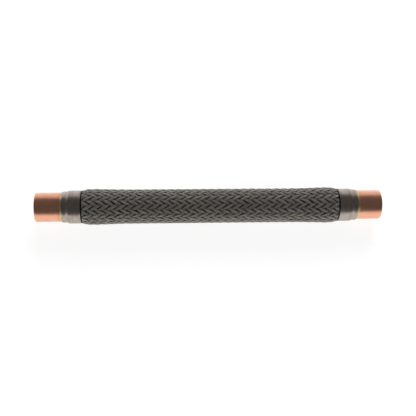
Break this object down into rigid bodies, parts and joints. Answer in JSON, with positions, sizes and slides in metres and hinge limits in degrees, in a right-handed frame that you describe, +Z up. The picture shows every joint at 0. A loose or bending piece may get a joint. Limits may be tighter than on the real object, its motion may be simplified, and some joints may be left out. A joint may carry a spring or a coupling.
{
  "type": "vibration eliminator",
  "caption": "Flexible metal hose under a woven wire braid, with a ferrule and a copper solder socket at each end, that keeps compressor vibration out of refrigerant pipes.",
  "frame": {"origin": "on the hose's axis, halfway between the two open ends", "axes": "+X along the axis towards the end with the shorter bare copper, +Z up with the connector lying on its braid"},
  "size_m": [0.302, 0.0318, 0.0318],
  "materials": {
    "copper": "drawn copper tube, satin with fine draw lines along it",
    "ferrule_steel": "drawn stainless steel, satin",
    "brazing_alloy": "bright solidified brazing alloy",
    "sealant": "matt black sealant",
    "hose_steel": "thin bright stainless strip",
    "braid_wire": "drawn stainless wire, slightly dull"
  },
  "bodies": {
    "root": {"copper_tube_left": "copper", "copper_tube_right": "copper", "ferrule_left": "ferrule_steel", "ferrule_right": "ferrule_steel", "outer_braze_left": "brazing_alloy", "outer_braze_right": "brazing_alloy", "inner_braze_left": "brazing_alloy", "inner_braze_right": "brazing_alloy", "end_seal_left": "sealant", "end_seal_right": "sealant", "corrugated_hose": "hose_steel", "braid": "braid_wire"}
  },
  "joints": []
}
